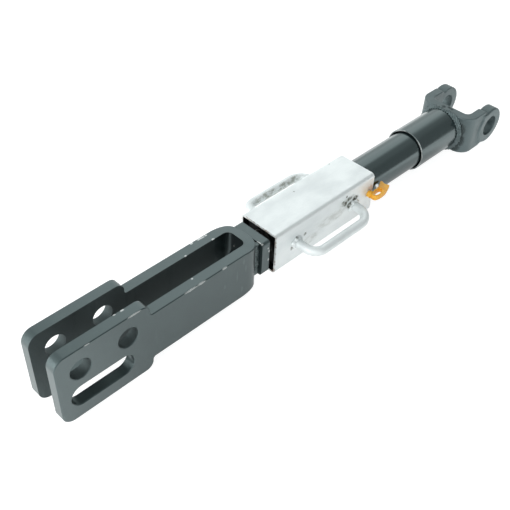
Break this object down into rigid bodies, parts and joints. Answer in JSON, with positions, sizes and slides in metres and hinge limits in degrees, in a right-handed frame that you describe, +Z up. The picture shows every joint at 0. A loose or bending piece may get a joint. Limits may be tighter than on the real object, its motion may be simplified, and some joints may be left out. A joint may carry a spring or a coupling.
{
  "type": "stabilizer link",
  "caption": "Adjustable tractor stabilizer link: slotted fork, screw with a square locking sleeve and bow handles, turning tube and pin yoke.",
  "frame": {"origin": "centre of the yoke's pin bore, on the link's long axis", "axes": "+X from the fork to the yoke along the link's axis, Y along the pins, +Z up, with the fork's slot below its holes"},
  "size_m": [0.7019, 0.122, 0.09],
  "materials": {
    "dark_paint": "satin",
    "forged_paint": "matt over a rough forging",
    "zinc_plate": "bright zinc plating",
    "bare_steel": "turned",
    "yellow_plastic": "gloss"
  },
  "bodies": {
    "yoke_body": {"yoke": "forged_paint", "outer_tube": "dark_paint", "yoke_weld": "forged_paint", "bearing_ring": "bare_steel"},
    "tube_body": {"inner_tube": "dark_paint", "square_nut": "bare_steel", "nut_weld": "bare_steel", "swivel_journal": "bare_steel", "journal_weld": "bare_steel", "collar_nut": "bare_steel", "collar_pin": "bare_steel", "front_thrust_washer": "bare_steel", "rear_thrust_washer": "bare_steel"},
    "fork_body": {"fork_strap": "dark_paint", "lock_block": "dark_paint", "block_weld": "dark_paint", "spindle": "bare_steel", "tail_weld": "dark_paint", "stop_collar": "bare_steel", "stop_pin": "bare_steel"},
    "sleeve_body": {"locking_sleeve": "zinc_plate", "near_handle": "zinc_plate", "far_handle": "zinc_plate", "near_handle_welds": "zinc_plate", "far_handle_welds": "zinc_plate"},
    "latch_body": {"clip_loop": "yellow_plastic", "clip_rivet": "zinc_plate", "latch_pin": "zinc_plate"}
  },
  "joints": [
    {"name": "tube_turn", "type": "hinge", "parent": "yoke_body", "child": "tube_body", "pos_m": [0, 0, 0], "axis": [1, 0, 0], "range_deg": [0, 5400]},
    {"name": "length_slide", "type": "slide", "parent": "yoke_body", "child": "fork_body", "axis": [-1, 0, 0], "range_m": [0, 0.0901]},
    {"name": "sleeve_slide", "type": "slide", "parent": "tube_body", "child": "sleeve_body", "axis": [1, 0, 0], "range_m": [-0.0125, 0.01]},
    {"name": "latch_pull", "type": "slide", "parent": "sleeve_body", "child": "latch_body", "axis": [0, -1, 0], "range_m": [0, 0.005]}
  ],
  "couplings": [
    {"joint": "length_slide", "follows": "tube_turn", "m_per_rad": 0.00095493}
  ]
}
